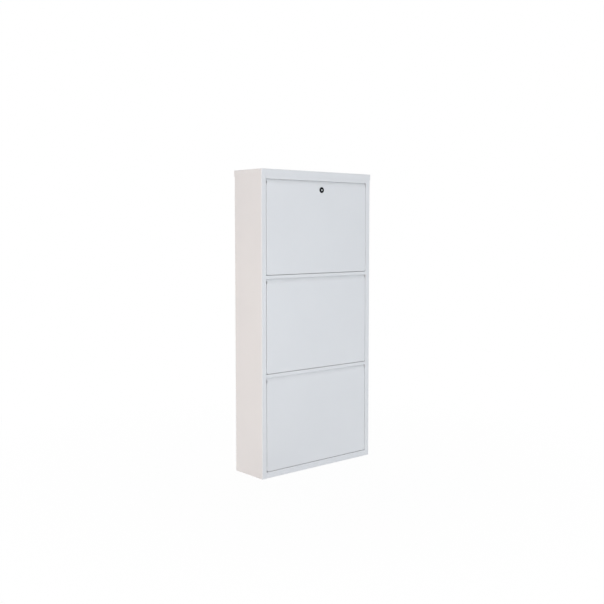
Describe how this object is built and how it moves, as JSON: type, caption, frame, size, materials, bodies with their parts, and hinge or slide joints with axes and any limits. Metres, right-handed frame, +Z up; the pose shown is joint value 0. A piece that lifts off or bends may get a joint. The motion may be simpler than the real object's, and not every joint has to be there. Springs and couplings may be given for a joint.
{
  "type": "shoe cabinet",
  "caption": "Slim upright steel shoe cabinet with tilt-out flaps in one column, each with a rolled grip lip and a shoe bin, and a cam lock on the uppermost.",
  "frame": {"origin": "on the floor, under the middle of the lid", "axes": "+X to the right seen from the front, +Y to the back, towards the wall, +Z up"},
  "size_m": [0.5, 0.15, 1.03],
  "materials": {
    "white_coat": "fine satin white powder coat on sheet steel",
    "plated_steel": "bright zinc plated",
    "rivet_aluminium": "plain blind rivets",
    "bush_nylon": "natural nylon",
    "glide_plastic": "light grey moulded plastic",
    "buffer_rubber": "soft black rubber",
    "lock_black": "black coated die casting",
    "lock_steel": "bright turned face with a key slot"
  },
  "bodies": {
    "cabinet": {"back_panel": "white_coat", "back_panel_rivets": "rivet_aluminium", "bottom_panel": "white_coat", "foot_glides": "glide_plastic", "left_side_panel": "white_coat", "lower_cross_rail": "white_coat", "pivot_bushes": "bush_nylon", "rail_rivets": "rivet_aluminium", "right_side_panel": "white_coat", "top_cap": "white_coat", "top_rail": "white_coat", "upper_cross_rail": "white_coat"},
    "bottom_flap": {"bottom_bin_buffers": "buffer_rubber", "bottom_bin_rivets": "rivet_aluminium", "bottom_bin_tray": "white_coat", "bottom_door": "white_coat", "bottom_left_cheek": "white_coat", "bottom_pivot_pins": "plated_steel", "bottom_right_cheek": "white_coat"},
    "middle_flap": {"middle_bin_buffers": "buffer_rubber", "middle_bin_rivets": "rivet_aluminium", "middle_bin_tray": "white_coat", "middle_door": "white_coat", "middle_left_cheek": "white_coat", "middle_pivot_pins": "plated_steel", "middle_right_cheek": "white_coat"},
    "top_flap": {"lock_housing": "lock_black", "lock_nut": "plated_steel", "top_bin_buffers": "buffer_rubber", "top_bin_rivets": "rivet_aluminium", "top_bin_tray": "white_coat", "top_door": "white_coat", "top_left_cheek": "white_coat", "top_pivot_pins": "plated_steel", "top_right_cheek": "white_coat"},
    "lock_core": {"lock_cam": "plated_steel", "lock_cam_screw": "plated_steel", "lock_plug": "lock_steel"}
  },
  "joints": [
    {"name": "bottom_flap_tilt", "type": "hinge", "parent": "cabinet", "child": "bottom_flap", "pos_m": [0, -0.0675, 0.0379], "axis": [1, 0, 0], "range_deg": [0, 40]},
    {"name": "middle_flap_tilt", "type": "hinge", "parent": "cabinet", "child": "middle_flap", "pos_m": [0, -0.0675, 0.3669], "axis": [1, 0, 0], "range_deg": [0, 40]},
    {"name": "top_flap_tilt", "type": "hinge", "parent": "cabinet", "child": "top_flap", "pos_m": [0, -0.0675, 0.6959], "axis": [1, 0, 0], "range_deg": [0, 40]},
    {"name": "lock_turn", "type": "hinge", "parent": "top_flap", "child": "lock_core", "pos_m": [0.0145, -0.0735, 0.9674], "axis": [0, -1, 0], "range_deg": [0, 90]}
  ]
}
